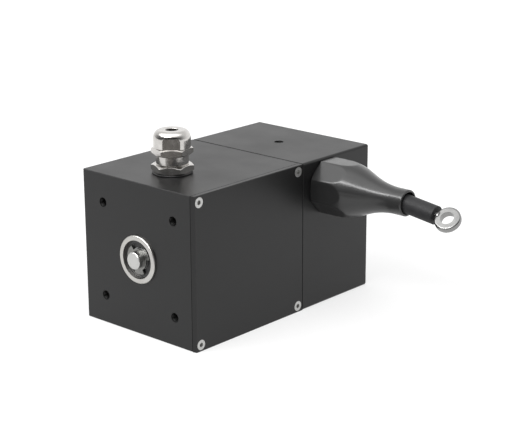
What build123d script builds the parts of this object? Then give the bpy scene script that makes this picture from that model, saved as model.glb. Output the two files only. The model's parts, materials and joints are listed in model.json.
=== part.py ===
from build123d import *
from math import cos, pi, radians, sin, sqrt
import os

# Draw-wire linear encoder, in millimetres.
# X is the way the wire is pulled, Y runs from the front face to the back, Z is up.
# The origin is on the shaft axis, in the plane of the front face.

os.makedirs("parts", exist_ok=True)

# Clearances
FIT = 0.03            # radial gap of a close round fit
SEAT = 0.05           # gap between two faces that are drawn together
RUN = 0.3             # gap between a turning piece and a fixed one

# Housing
BODY_W = 79.4
BODY_H = 80.2
FRONT_LEN = 80.0      # electronics block
REAR_LEN = 54.7       # drum block
REAR_RISE = 0.15      # top of the drum block above that of the electronics block
CORNER_R = 1.0        # upright corner of the front face
REAR_ROUND = 1.2      # long edges of the drum block and the edges of its back face
REAR_LEAD = 0.15      # broken front rim of the drum block
EDGE_BREAK = 0.3      # broken edges round the top and the bottom
GASKET_T = 0.5
GASKET_INSET = 0.1
COVER_T = 2.6
COVER_GASKET_T = 0.3
COVER_GASKET_INSET = 0.1
COVER_BEVEL = 0.45    # slope of the cover's front edge, over its whole thickness

# Electronics pocket in the front block, open towards the side cover
FRONT_WALL = 14.0
MID_WALL = 12.0
TOP_WALL = 9.0
FAR_WALL = 8.0
POCKET_R = 6.0

# Drum chamber in the rear block, with a shoulder that clamps the spring cassette
DRUM_GAP = 1.4        # free space behind the drum
CHAMBER_R = 29.0

# Screws
COVER_SCREW_D = 3.0
COVER_SCREW_LEN = 10.0
COVER_SCREW_HEAD_D = 5.3
COVER_SCREW_INSET_Y = 3.4
COVER_SCREW_INSET_Z = 3.5
COVER_SCREW_SOCKET = 2.2
SOCKET_SHARE = 0.5    # depth of a hexagon socket, as a share of the screw's diameter
BOLT_D = 4.0
BOLT_HEAD_D = 7.0
BOLT_HEAD_H = 4.0
BOLT_SOCKET = 3.0
BOLT_INSET_X = 16.0
BOLT_INSET_Z = 6.0
BOLT_ENGAGE = 9.0     # length in the front block
DRILL_EXTRA = 1.0     # blind hole beyond the end of its screw

# Mounting holes in the front face
MOUNT_PITCH = 50.0
MOUNT_HOLE_D = 5.0
MOUNT_HOLE_DEPTH = 11.0

# Shaft and its two ball bearings
SHAFT_D = 9.0
SHAFT_PROUD = 3.7
BEARING_D = 20.0
BEARING_W = 6.0
INNER_RACE_D = 11.6
OUTER_RACE_BORE = 17.0
BALL_D = 3.4
BALL_COUNT = 7
BALL_GAP = 0.1
SEAL_T = 0.6
SEAL_RECESS = 0.3
BEARING_INSET = 0.9   # front bearing behind the front face
SHAFT_TAIL = 1.4      # shaft beyond the rear bearing
SHAFT_CLEAR = 1.0     # radial gap between the shaft and a wall it passes

# Bare collar round the front bearing
COLLAR_D = 25.0
COLLAR_PROUD = 1.2
COLLAR_LIP = 2.0
COLLAR_LIP_BORE = 15.4

# Three-lobed retaining clip
CLIP_T = 0.9
CLIP_GROOVE_D = 7.6
CLIP_RING_D = 11.2
CLIP_LOBE_D = 15.8
CLIP_LOBE_ANGLE = 50.0
CLIP_TURN = 33.0

# Shaft seal in the wall between the two blocks
LIP_SEAL_D = 18.0
LIP_SEAL_W = 5.2
LIP_SEAL_WALL = 1.4

# Spiral return spring and its cassette
CASSETTE_D = 61.6
CASSETTE_WALL = 2.0
CASSETTE_FLOOR = 1.5
CASSETTE_LID_T = 1.2
SPRING_W = 11.5
SPRING_T = 0.5
SPRING_TURNS = 8
SPRING_SIDE_GAP = 0.6
ARBOR_D = 14.0
ARBOR_PIN_D = 2.0
DOWEL_D = 3.0
DOWEL_R = 26.0
DOWEL_DEPTH = 6.0

# Wire drum
WIRE_D = 1.0
WIRE_RADIUS = 25.0    # from the shaft axis to the middle of the wire
WIRE_PITCH = 1.1
WOUND_TURNS = 13
DRUM_FLANGE_T = 2.0
DRUM_FLANGE_D = 55.0
DRUM_RIM_T = 2.7
DRUM_HUB_D = 18.0
DRUM_WEB_T = 4.0
DRUM_HOLES = 6
DRUM_HOLE_D = 8.0
DRUM_PIN_D = 3.0

# Wire outlet and rubber boot
OUTLET_BACK = 19.5    # wire lane behind the front of the drum block
OUTLET_THREAD_D = 14.0
OUTLET_THREAD_LEN = 11.0
OUTLET_FLANGE_D = 22.0
OUTLET_FLANGE_T = 3.0
OUTLET_NECK_D = 13.0
OUTLET_NECK_LEN = 11.0
OUTLET_BORE_D = 5.0
BUSH_D = 8.0
BUSH_LEN = 7.8
BUSH_BORE_D = 1.8
WIPER_T = 2.4
BOOT_FLATS = 28.0
BOOT_TURNED_D = 30.0
BOOT_BASE_LEN = 12.0
BOOT_LEN = 53.0
BOOT_NOZZLE_D = 13.8
BOOT_NOZZLE_LEN = 8.0
BOOT_BORE_D = 11.8
BOOT_MOUTH_D = 11.4
BOOT_LIP_LEN = 5.0
BOOT_SHOULDER = 0.36  # where the hollow side leaves the shoulder, along the cone
BOOT_HOLLOW = 0.5     # where it draws near the nozzle, along the cone
BOOT_HOLLOW_R = 1.12  # its size there, as a share of the nozzle

# Pull end of the wire: sleeve, swaged ferrule and eye
SLEEVE_D = 9.7
SLEEVE_BORE_D = 5.0
SLEEVE_BEND_X = 85.0
SLEEVE_BEND_RUN = 8.0
SLEEVE_END_X = 110.0
SLEEVE_DROOP = 7.7    # degrees below the line of pull
FERRULE_LEN = 25.0
FERRULE_GRIP = 10.0
EYE_D = 13.7
EYE_BORE_D = 7.2
EYE_T = 3.8
EYE_ROUND = 1.1
EYE_TURN = 40.0       # degrees about the sleeve, from level towards the front

# Cable gland
GLAND_Y = 25.3
GLAND_THREAD_D = 16.0
GLAND_RING_D = 20.8
GLAND_RING_T = 0.7
GLAND_BODY_FLATS = 19.2
GLAND_NUT_FLATS = 18.6
GLAND_BODY_HEX_H = 4.0
GLAND_NECK_D = 16.7
GLAND_NECK_H = 5.0
GLAND_TOP_THREAD_D = 15.4
GLAND_NUT_HEX_H = 3.8
GLAND_CAP_D = 19.1
GLAND_CAP_H = 8.7
GLAND_CAP_ROUND = 3.2
GLAND_CAP_FLATS = 17.0
GLAND_CAP_FLAT_H = 6.2
GLAND_MOUTH_D = 6.4
GLAND_CABLE_D = 6.0
GLAND_PASSAGE_D = 9.0
GLAND_INSERT_D = 11.4
GLAND_INSERT_HEAD_D = 13.0
GLAND_BODY_TURN = 37.0
GLAND_NUT_TURN = 42.5
HEX_CHAMFER = 0.6     # drop of a hexagon's corner cone, as a share of the corner's reach

# Blanking screw in the top of the rear block
PLUG_BACK = 26.2      # behind the front of the drum block
PLUG_D = 5.0
PLUG_LEN = 6.0
PLUG_RECESS = 0.7
PLUG_SOCKET = 2.5

# Electronics
BOARD_T = 1.6
ENCODER_BOARD_D = BODY_W * 0.6
ENCODER_BOARD_BORE = 18.0
STANDOFF_D = 5.0
STANDOFF_LEN = 10.0
STANDOFF_RING_D = ENCODER_BOARD_D - 7.0
DISC_D = ENCODER_BOARD_D - 8.0
DISC_T = 1.2
DISC_SLOTS = 24
DISC_SLOT_OUT = DISC_D / 2 - 1.4
DISC_SLOT_IN = DISC_SLOT_OUT - 2.4
DISC_SLOT_W = 2.0
DISC_GAP = 3.2        # from the encoder board
HUB_BOSS_D = 11.0
HUB_D = 18.0
HUB_LEN = 8.0
HUB_SCREW_D = 3.0
READER_W = 12.0
READER_DEPTH = 7.4
READER_IN = DISC_SLOT_IN - 3.2
READER_OUT = ENCODER_BOARD_D / 2 - 0.8
READER_SLOT_GAP = 0.6
MAIN_BOARD_MARGIN = 4.0
MAIN_BOARD_LIFT = 4.0
MAIN_BOARD_HOLE_INSET = 4.0
BOARD_HOLE_R = 1.25
TERMINALS = 6
TERMINAL_PITCH = 5.0
TERMINAL_H = 11.0
TERMINAL_DEPTH = 12.0
TERMINAL_SCREW_D = 3.0
TERMINAL_ENTRY = 3.0
TERMINAL_ENTRY_LIFT = 2.0
CHIP_W = 12.0
CHIP_H = 2.0
CHIP_GAP = 2.0        # from the boards and blocks beside a chip, and from the middle

# Places worked out from the sizes above
X_RIGHT = BODY_W / 2
Z_TOP = BODY_H / 2
Z_REAR_TOP = Z_TOP + REAR_RISE
X_COVER = X_RIGHT - COVER_T
X_BLOCK = X_COVER - COVER_GASKET_T
Y_REAR = FRONT_LEN + GASKET_T
Y_BACK = Y_REAR + REAR_LEN
Y_MID = FRONT_LEN - MID_WALL
OUTLET_Y = Y_REAR + OUTLET_BACK
PLUG_Y = Y_REAR + PLUG_BACK
CASSETTE_LEN = CASSETTE_FLOOR + 2 * SPRING_SIDE_GAP + SPRING_W + CASSETTE_LID_T
Y_SHOULDER = FRONT_LEN + CASSETTE_LEN + SEAT
SHAFT_R = SHAFT_D / 2
RACE_BORE_R = SHAFT_R + FIT
BEARING_PITCH_R = (INNER_RACE_D + OUTER_RACE_BORE) / 4
Y_FRONT_BEARING = BEARING_INSET
WIRE_Z = WIRE_RADIUS
GROOVE_R = WIRE_RADIUS - WIRE_D / 2 - RUN
Y_BAND_START = OUTLET_Y - WIRE_D / 2 - RUN
Y_BAND_END = OUTLET_Y + WOUND_TURNS * WIRE_PITCH + WIRE_D / 2 + RUN
Y_DRUM_START = Y_BAND_START - DRUM_FLANGE_T
Y_DRUM_END = Y_BAND_END + DRUM_FLANGE_T
Y_CHAMBER_END = Y_DRUM_END + DRUM_GAP
Y_REAR_BEARING = Y_CHAMBER_END + SEAT
Y_SHAFT_END = Y_REAR_BEARING + BEARING_W + SHAFT_TAIL
Y_DRUM_MID = (Y_DRUM_START + Y_DRUM_END) / 2
Y_SPRING = FRONT_LEN + CASSETTE_FLOOR + SPRING_SIDE_GAP
Y_CLIP = Y_FRONT_BEARING - 2 * SEAT - CLIP_T
X_OUTLET_FACE = X_RIGHT + OUTLET_FLANGE_T + OUTLET_NECK_LEN
X_SLEEVE = X_OUTLET_FACE + RUN
X_FERRULE_END = X_SLEEVE + FERRULE_LEN
Y_BOARD = FRONT_WALL + STANDOFF_LEN
Y_DISC = Y_BOARD + BOARD_T + DISC_GAP
X_BOARD = -X_RIGHT + FAR_WALL + MAIN_BOARD_LIFT
Y_BOARD_MID = (FRONT_WALL + Y_MID) / 2
MAIN_BOARD_Y = Y_MID - FRONT_WALL - 2 * MAIN_BOARD_MARGIN
MAIN_BOARD_Z = BODY_H - 2 * TOP_WALL - 2 * MAIN_BOARD_MARGIN
Z_BODY_HEX = Z_TOP + GLAND_RING_T
Z_NECK = Z_BODY_HEX + GLAND_BODY_HEX_H
Z_NUT = Z_NECK + GLAND_NECK_H
Z_CAP = Z_NUT + GLAND_NUT_HEX_H
Z_GLAND_TOP = Z_CAP + GLAND_CAP_H


def box(x0, x1, y0, y1, z0, z1):
    middle = Pos((x0 + x1) / 2, (y0 + y1) / 2, (z0 + z1) / 2)
    return middle * Box(x1 - x0, y1 - y0, z1 - z0)


def rod_x(radius, x0, x1, y=0.0, z=0.0):
    return Pos((x0 + x1) / 2, y, z) * Rot(0, 90, 0) * Cylinder(radius, x1 - x0)


def rod_y(radius, y0, y1, x=0.0, z=0.0):
    return Pos(x, (y0 + y1) / 2, z) * Rot(90, 0, 0) * Cylinder(radius, y1 - y0)


def rod_z(radius, z0, z1, x=0.0, y=0.0):
    return Pos(x, y, (z0 + z1) / 2) * Cylinder(radius, z1 - z0)


def tube_x(outer, inner, x0, x1, y=0.0, z=0.0):
    return rod_x(outer, x0, x1, y, z) - rod_x(inner, x0 - 1, x1 + 1, y, z)


def tube_y(outer, inner, y0, y1):
    return rod_y(outer, y0, y1) - rod_y(inner, y0 - 1, y1 + 1)


def turned_y(points):
    """A solid of revolution about the shaft axis, from (radius, y) points."""
    return revolve(make_face(Polyline(*points, close=True)), axis=Axis.Y)


def hexagon(flats, turn):
    """A hexagon with one flat's normal at turn degrees from the front, towards the right."""
    return Rot(0, 0, turn - 90 + 30) * RegularPolygon(flats / 2, 6, major_radius=False)


def hex_socket(flats, depth):
    """A socket cutter that goes down from z = 0."""
    return extrude(RegularPolygon(flats / 2, 6, major_radius=False), -depth)


def front_form():
    """The outside of the electronics block, with its free rims broken above and below."""
    plan = Pos((X_BLOCK - X_RIGHT) / 2, FRONT_LEN / 2) * Rectangle(X_BLOCK + X_RIGHT, FRONT_LEN)
    corner = plan.vertices().sort_by_distance((-X_RIGHT, 0, 0))[0]
    plan = fillet(corner, CORNER_R)
    solid = Pos(0, 0, -BODY_H / 2) * extrude(plan, BODY_H)
    rims = solid.faces().sort_by(Axis.Z)
    middles = [(edge, edge.center()) for edge in rims[0].edges() + rims[-1].edges()]
    free = [edge for edge, c in middles if c.X < X_BLOCK - EDGE_BREAK and c.Y < FRONT_LEN - EDGE_BREAK]
    return chamfer(free, EDGE_BREAK)


def rear_form():
    """The outside of the drum block: rounded, except for its slightly broken front rim."""
    solid = box(-X_RIGHT, X_RIGHT, Y_REAR, Y_BACK, -BODY_H / 2, Z_REAR_TOP)
    rounded = [edge for edge in solid.edges() if edge.center().Y > Y_REAR + EDGE_BREAK]
    solid = fillet(rounded, REAR_ROUND)
    front_rim = solid.faces().sort_by(Axis.Y)[0].edges()
    return chamfer(front_rim, REAR_LEAD)


def cover_screw_places():
    """(y, z) of the four cover screws."""
    ys = (COVER_SCREW_INSET_Y, FRONT_LEN - COVER_SCREW_INSET_Y)
    reach = BODY_H / 2 - COVER_SCREW_INSET_Z
    return [(y, z) for y in ys for z in (-reach, reach)]


def bolt_places():
    """(x, z) of the four long bolts that hold the blocks together."""
    x = BODY_W / 2 - BOLT_INSET_X
    z = BODY_H / 2 - BOLT_INSET_Z
    return [(i * x, j * z) for i in (-1, 1) for j in (-1, 1)]


def pocket_form(x0, x1):
    """The outline of the electronics pocket, from x0 to x1."""
    side = Plane(origin=(x0, Y_BOARD_MID, 0), x_dir=(0, 1, 0), z_dir=(1, 0, 0))
    outline = RectangleRounded(Y_MID - FRONT_WALL, BODY_H - 2 * TOP_WALL, POCKET_R)
    return extrude(side * outline, x1 - x0)


def make_front_block():
    solid = front_form()
    solid -= pocket_form(FAR_WALL - X_RIGHT, X_BLOCK + 1)
    collar_end = Y_FRONT_BEARING + BEARING_W + COLLAR_LIP
    solid -= rod_y(COLLAR_D / 2 + FIT, -1, collar_end + SEAT)
    solid -= rod_y(COLLAR_LIP_BORE / 2, 0, FRONT_WALL + 1)
    seal_start = FRONT_LEN - LIP_SEAL_W - SEAT
    solid -= rod_y(LIP_SEAL_D / 2 + FIT, seal_start, FRONT_LEN + 1)
    solid -= rod_y(SHAFT_R + SHAFT_CLEAR, Y_MID - 1, FRONT_LEN)
    solid -= rod_y(DOWEL_D / 2 + FIT, FRONT_LEN - DOWEL_DEPTH, FRONT_LEN + 1, z=-DOWEL_R)
    for x in (-MOUNT_PITCH / 2, MOUNT_PITCH / 2):
        for z in (-MOUNT_PITCH / 2, MOUNT_PITCH / 2):
            solid -= rod_y(MOUNT_HOLE_D / 2, -1, MOUNT_HOLE_DEPTH, x, z)
    for x, z in bolt_places():
        solid -= rod_y(BOLT_D / 2 + FIT, FRONT_LEN - BOLT_ENGAGE - DRILL_EXTRA, FRONT_LEN + 1, x, z)
    for y, z in cover_screw_places():
        hole_end = X_RIGHT - COVER_SCREW_LEN - DRILL_EXTRA
        solid -= rod_x(COVER_SCREW_D / 2 + FIT, hole_end, X_RIGHT, y, z)
    solid -= rod_z(GLAND_THREAD_D / 2 + FIT, Z_TOP - TOP_WALL - 1, Z_TOP + 1, y=GLAND_Y)
    return solid


def make_rear_block():
    solid = rear_form()
    solid -= rod_y(CASSETTE_D / 2 + FIT, Y_REAR - 1, Y_SHOULDER)
    solid -= rod_y(CHAMBER_R, Y_REAR, Y_CHAMBER_END)
    solid -= rod_y(BEARING_D / 2 + FIT, Y_REAR, Y_REAR_BEARING + BEARING_W + SEAT)
    solid -= rod_y(SHAFT_R + SHAFT_CLEAR, Y_REAR, Y_SHAFT_END + SHAFT_CLEAR)
    for x, z in bolt_places():
        solid -= rod_y(BOLT_D / 2 + RUN, Y_REAR - 1, Y_BACK, x, z)
        solid -= rod_y(BOLT_HEAD_D / 2 + RUN, Y_BACK - BOLT_HEAD_H - RUN, Y_BACK + 1, x, z)
    thread_end = X_RIGHT - OUTLET_THREAD_LEN - SEAT
    solid -= rod_x(OUTLET_THREAD_D / 2 + FIT, thread_end, X_RIGHT + 1, OUTLET_Y, WIRE_Z)
    solid -= rod_x(OUTLET_BORE_D / 2, 0, X_RIGHT, OUTLET_Y, WIRE_Z)
    solid -= rod_z(PLUG_D / 2 + FIT, CHAMBER_R / 2, Z_REAR_TOP + 1, y=PLUG_Y)
    return solid


def make_block_gasket():
    width = BODY_W - 2 * GASKET_INSET
    height = BODY_H - 2 * GASKET_INSET
    sheet = box(-width / 2, width / 2, FRONT_LEN, Y_REAR, -height / 2, height / 2)
    sheet -= rod_y(CASSETTE_D / 2 + RUN, FRONT_LEN - 1, Y_REAR + 1)
    for x, z in bolt_places():
        sheet -= rod_y(BOLT_D / 2 + RUN, FRONT_LEN - 1, Y_REAR + 1, x, z)
    return sheet


def cover_plan():
    corners = [(X_COVER, FRONT_LEN), (X_COVER, 0), (X_RIGHT, COVER_BEVEL), (X_RIGHT, FRONT_LEN)]
    return make_face(Polyline(*corners, close=True))


def make_side_cover():
    """The plate on the right of the front block, with a sloped front edge."""
    plate = Pos(0, 0, -BODY_H / 2) * extrude(cover_plan(), BODY_H)
    rims = plate.faces().sort_by(Axis.Z)
    edges = rims[0].edges() + rims[-1].edges()
    plate = chamfer([e for e in edges if e.center().X > X_RIGHT - EDGE_BREAK], EDGE_BREAK)
    for y, z in cover_screw_places():
        plate -= screw_form(COVER_SCREW_D / 2 + RUN, COVER_SCREW_HEAD_D / 2 + SEAT, y, z)
    return plate


def screw_form(shank_r, head_r, y, z):
    """A countersunk form pointing along -X, with its head level with the cover."""
    cone = [(0, 0), (head_r, 0), (shank_r, -(head_r - shank_r)), (shank_r, -COVER_SCREW_LEN)]
    cone.append((0, -COVER_SCREW_LEN))
    form = revolve(make_face(Plane.XZ * Polyline(*cone, close=True)), axis=Axis.Z)
    return Pos(X_RIGHT, y, z) * Rot(0, 90, 0) * form


def make_cover_screws():
    screws = []
    for y, z in cover_screw_places():
        screw = screw_form(COVER_SCREW_D / 2, COVER_SCREW_HEAD_D / 2, y, z)
        socket = hex_socket(COVER_SCREW_SOCKET, COVER_SCREW_D * SOCKET_SHARE)
        screws.append(screw - Pos(X_RIGHT, y, z) * Rot(0, 90, 0) * socket)
    return Compound(children=screws)


def make_cover_gasket():
    inset = COVER_GASKET_INSET
    reach = BODY_H / 2 - inset
    sheet = box(X_BLOCK, X_COVER, inset, FRONT_LEN - inset, -reach, reach)
    sheet -= pocket_form(X_BLOCK - 1, X_COVER + 1)
    for y, z in cover_screw_places():
        sheet -= rod_x(COVER_SCREW_D / 2 + RUN, 0, X_RIGHT, y, z)
    return sheet


def make_block_bolts():
    bolts = []
    head_y = Y_BACK - BOLT_HEAD_H
    for x, z in bolt_places():
        bolt = rod_y(BOLT_D / 2, FRONT_LEN - BOLT_ENGAGE, Y_BACK, x, z)
        bolt += rod_y(BOLT_HEAD_D / 2, head_y - RUN, Y_BACK - RUN, x, z)
        bolt -= rod_y(BOLT_D, Y_BACK - RUN, Y_BACK + 1, x, z)
        socket = hex_socket(BOLT_SOCKET, BOLT_D * SOCKET_SHARE)
        bolts.append(bolt - Pos(x, Y_BACK - RUN, z) * Rot(-90, 0, 0) * socket)
    return Compound(children=bolts)


def make_bearing_collar():
    front = -COLLAR_PROUD
    lip = Y_FRONT_BEARING + BEARING_W
    collar = rod_y(COLLAR_D / 2, front, lip + COLLAR_LIP)
    collar = chamfer(collar.edges().sort_by(Axis.Y)[0], EDGE_BREAK)
    collar -= rod_y(BEARING_D / 2 + FIT, front - 1, lip)
    collar -= rod_y(COLLAR_LIP_BORE / 2, front, lip + COLLAR_LIP + 1)
    return collar


def make_inner_race(y):
    race = tube_y(INNER_RACE_D / 2, RACE_BORE_R, y, y + BEARING_W)
    return race - ball_track(y)


def make_outer_race(y):
    race = tube_y(BEARING_D / 2, OUTER_RACE_BORE / 2, y, y + BEARING_W)
    return race - ball_track(y)


def ball_track(y):
    track = Torus(BEARING_PITCH_R, BALL_D / 2 + BALL_GAP)
    return Pos(0, y + BEARING_W / 2, 0) * Rot(90, 0, 0) * track


def make_balls(y):
    balls = []
    for i in range(BALL_COUNT):
        turn = radians(360 * i / BALL_COUNT)
        x = BEARING_PITCH_R * cos(turn)
        z = BEARING_PITCH_R * sin(turn)
        balls.append(Pos(x, y + BEARING_W / 2, z) * Sphere(BALL_D / 2))
    return Compound(children=balls)


def make_bearing_seal(y):
    """The rubber disc of a sealed bearing, set into the outer race."""
    return tube_y(OUTER_RACE_BORE / 2 - FIT, INNER_RACE_D / 2 + BALL_GAP, y, y + SEAL_T)


def make_main_shaft():
    shaft = rod_y(SHAFT_R, -SHAFT_PROUD, Y_SHAFT_END)
    shaft = chamfer(shaft.edges().sort_by(Axis.Y)[0], EDGE_BREAK)
    shaft = chamfer(shaft.edges().sort_by(Axis.Y)[-1], EDGE_BREAK)
    shaft -= tube_y(SHAFT_D, CLIP_GROOVE_D / 2, Y_CLIP - SEAT, Y_CLIP + CLIP_T + SEAT)
    shaft -= rod_z(DRUM_PIN_D / 2 + FIT, -SHAFT_D, SHAFT_D, y=drum_pin_y())
    shaft -= rod_z(ARBOR_PIN_D / 2 + FIT, -SHAFT_D, SHAFT_D, y=Y_SPRING + SPRING_W / 2)
    return shaft


def make_retaining_clip():
    ring = Circle(CLIP_RING_D / 2)
    for i in range(3):
        ring += lobe(CLIP_TURN + 120 * i)
    ring -= Circle(CLIP_GROOVE_D / 2 + FIT)
    return Pos(0, Y_CLIP + CLIP_T, 0) * Rot(90, 0, 0) * extrude(ring, CLIP_T)


def lobe(turn):
    """One lobe of the clip: a sector of its outer circle."""
    half = radians(CLIP_LOBE_ANGLE / 2)
    reach = CLIP_LOBE_D
    wedge = Polyline(
        (0, 0), (reach * cos(half), -reach * sin(half)), (reach * cos(half), reach * sin(half)), close=True
    )
    return Rot(0, 0, turn) * (Circle(CLIP_LOBE_D / 2) & make_face(wedge))


def make_shaft_seal():
    """A rotary lip seal: a case ring with a thin lip that reaches the shaft."""
    y = FRONT_LEN - LIP_SEAL_W
    outer = LIP_SEAL_D / 2
    lip = SHAFT_R + BALL_GAP
    points = [(outer, y), (outer, FRONT_LEN - SEAT), (outer - LIP_SEAL_WALL, FRONT_LEN - SEAT)]
    points += [(outer - LIP_SEAL_WALL, y + LIP_SEAL_WALL), (lip + LIP_SEAL_WALL, y + LIP_SEAL_WALL)]
    points += [(lip + LIP_SEAL_WALL / 2, y + LIP_SEAL_W / 2), (lip, y + LIP_SEAL_W / 2), (lip, y)]
    return turned_y(points)


def make_spring_cassette():
    end = FRONT_LEN + CASSETTE_LEN - CASSETTE_LID_T
    cup = rod_y(CASSETTE_D / 2, FRONT_LEN, end)
    cup -= rod_y(CASSETTE_D / 2 - CASSETTE_WALL, FRONT_LEN + CASSETTE_FLOOR, end + 1)
    cup -= rod_y(ARBOR_D / 2 + RUN, FRONT_LEN - 1, end)
    cup -= rod_y(DOWEL_D / 2 + FIT, FRONT_LEN - 1, FRONT_LEN + CASSETTE_FLOOR + 1, z=-DOWEL_R)
    return cup


def make_cassette_lid():
    start = FRONT_LEN + CASSETTE_LEN - CASSETTE_LID_T
    return tube_y(CASSETTE_D / 2, ARBOR_D / 2 + RUN, start, start + CASSETTE_LID_T)


def make_cassette_dowel():
    end = FRONT_LEN + CASSETTE_FLOOR
    return rod_y(DOWEL_D / 2, FRONT_LEN - DOWEL_DEPTH + SEAT, end, z=-DOWEL_R)


def make_spring_arbor():
    arbor = tube_y(ARBOR_D / 2, RACE_BORE_R, Y_SPRING, Y_SPRING + SPRING_W)
    return arbor - rod_z(ARBOR_PIN_D / 2 + FIT, -ARBOR_D, ARBOR_D, y=Y_SPRING + SPRING_W / 2)


def make_arbor_pin():
    reach = ARBOR_D / 2 - RUN
    return rod_z(ARBOR_PIN_D / 2, -reach, reach, y=Y_SPRING + SPRING_W / 2)


def spiral_edges(start_r, step):
    """Half circles whose centres alternate, so that each turn grows by one step."""
    edges = []
    right = start_r
    for i in range(2 * SPRING_TURNS):
        side = 1 if i % 2 == 0 else -1
        radius = right + step / 4
        centre = side * (right - radius)
        first = (centre + side * radius, 0)
        last = (centre - side * radius, 0)
        edges.append(ThreePointArc(first, (centre, side * radius), last))
        right = 2 * radius - right
    return edges


def make_spiral_spring():
    """The strip, coiled from the arbor out to the wall of the cassette."""
    inner_r = ARBOR_D / 2 + RUN
    outer_r = CASSETTE_D / 2 - CASSETTE_WALL - RUN - SPRING_T
    step = (outer_r - inner_r) / SPRING_TURNS
    inner = spiral_edges(inner_r, step)
    outer = spiral_edges(inner_r + SPRING_T, step)
    first = Line(inner[0] @ 0, outer[0] @ 0)
    last = Line(inner[-1] @ 1, outer[-1] @ 1)
    strip = make_face(inner + outer + [first, last])
    coil = extrude(strip, SPRING_W)
    return Pos(0, Y_SPRING + SPRING_W, 0) * Rot(90, 0, 0) * coil


def drum_pin_y():
    return (Y_DRUM_START + Y_DRUM_MID - DRUM_WEB_T / 2) / 2


def make_wire_drum():
    hub_r = DRUM_HUB_D / 2
    rim_in = GROOVE_R - DRUM_RIM_T
    web0 = Y_DRUM_MID - DRUM_WEB_T / 2
    web1 = Y_DRUM_MID + DRUM_WEB_T / 2
    flange_r = DRUM_FLANGE_D / 2
    points = [(RACE_BORE_R, Y_DRUM_START), (hub_r, Y_DRUM_START), (hub_r, web0), (rim_in, web0)]
    points += [(rim_in, Y_DRUM_START), (flange_r, Y_DRUM_START), (flange_r, Y_BAND_START)]
    points += [(GROOVE_R, Y_BAND_START), (GROOVE_R, Y_BAND_END), (flange_r, Y_BAND_END)]
    points += [(flange_r, Y_DRUM_END), (rim_in, Y_DRUM_END), (rim_in, web1), (hub_r, web1)]
    points += [(hub_r, Y_DRUM_END), (RACE_BORE_R, Y_DRUM_END)]
    drum = turned_y(points)
    ring_r = (hub_r + rim_in) / 2
    for i in range(DRUM_HOLES):
        turn = radians(360 * i / DRUM_HOLES)
        drum -= rod_y(DRUM_HOLE_D / 2, web0 - 1, web1 + 1, ring_r * cos(turn), ring_r * sin(turn))
    return drum - rod_z(DRUM_PIN_D / 2 + FIT, -hub_r - 1, hub_r + 1, y=drum_pin_y())


def make_drum_pin():
    reach = DRUM_HUB_D / 2 - RUN
    return rod_z(DRUM_PIN_D / 2, -reach, reach, y=drum_pin_y())


def make_wound_wire():
    """The wound turns as one sleeve with a ridge for each turn."""
    inner = GROOVE_R + FIT
    crest = WIRE_RADIUS + WIRE_D / 2
    valley = WIRE_RADIUS
    start = OUTLET_Y + WIRE_D / 2 + BALL_GAP
    points = [(inner, start), (valley, start)]
    for i in range(1, WOUND_TURNS + 1):
        middle = OUTLET_Y + i * WIRE_PITCH
        points.append((crest, middle))
        points.append((valley, middle + WIRE_PITCH / 2))
    points.append((inner, points[-1][1]))
    return turned_y(points)


def make_wire_outlet():
    spigot = rod_x(OUTLET_THREAD_D / 2, X_RIGHT - OUTLET_THREAD_LEN, X_RIGHT, OUTLET_Y, WIRE_Z)
    flange_end = X_RIGHT + OUTLET_FLANGE_T
    spigot += rod_x(OUTLET_FLANGE_D / 2, X_RIGHT, flange_end, OUTLET_Y, WIRE_Z)
    spigot += rod_x(OUTLET_NECK_D / 2, X_RIGHT, X_OUTLET_FACE, OUTLET_Y, WIRE_Z)
    spigot -= rod_x(OUTLET_BORE_D / 2, 0, X_OUTLET_FACE + 1, OUTLET_Y, WIRE_Z)
    pocket_start = X_OUTLET_FACE - BUSH_LEN - WIPER_T - 2 * SEAT
    return spigot - rod_x(BUSH_D / 2 + FIT, pocket_start, X_OUTLET_FACE + 1, OUTLET_Y, WIRE_Z)


def make_guide_bush():
    bush = tube_x(BUSH_D / 2, BUSH_BORE_D / 2, X_OUTLET_FACE - BUSH_LEN, X_OUTLET_FACE, OUTLET_Y, WIRE_Z)
    mouth = bush.faces().sort_by(Axis.X)[-1].edges().sort_by(SortBy.RADIUS)[0]
    return fillet(mouth, BUSH_BORE_D / 2)


def make_wiper_ring():
    end = X_OUTLET_FACE - BUSH_LEN - SEAT
    return tube_x(BUSH_D / 2, WIRE_D / 2 + BALL_GAP, end - WIPER_T, end, OUTLET_Y, WIRE_Z)


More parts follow.
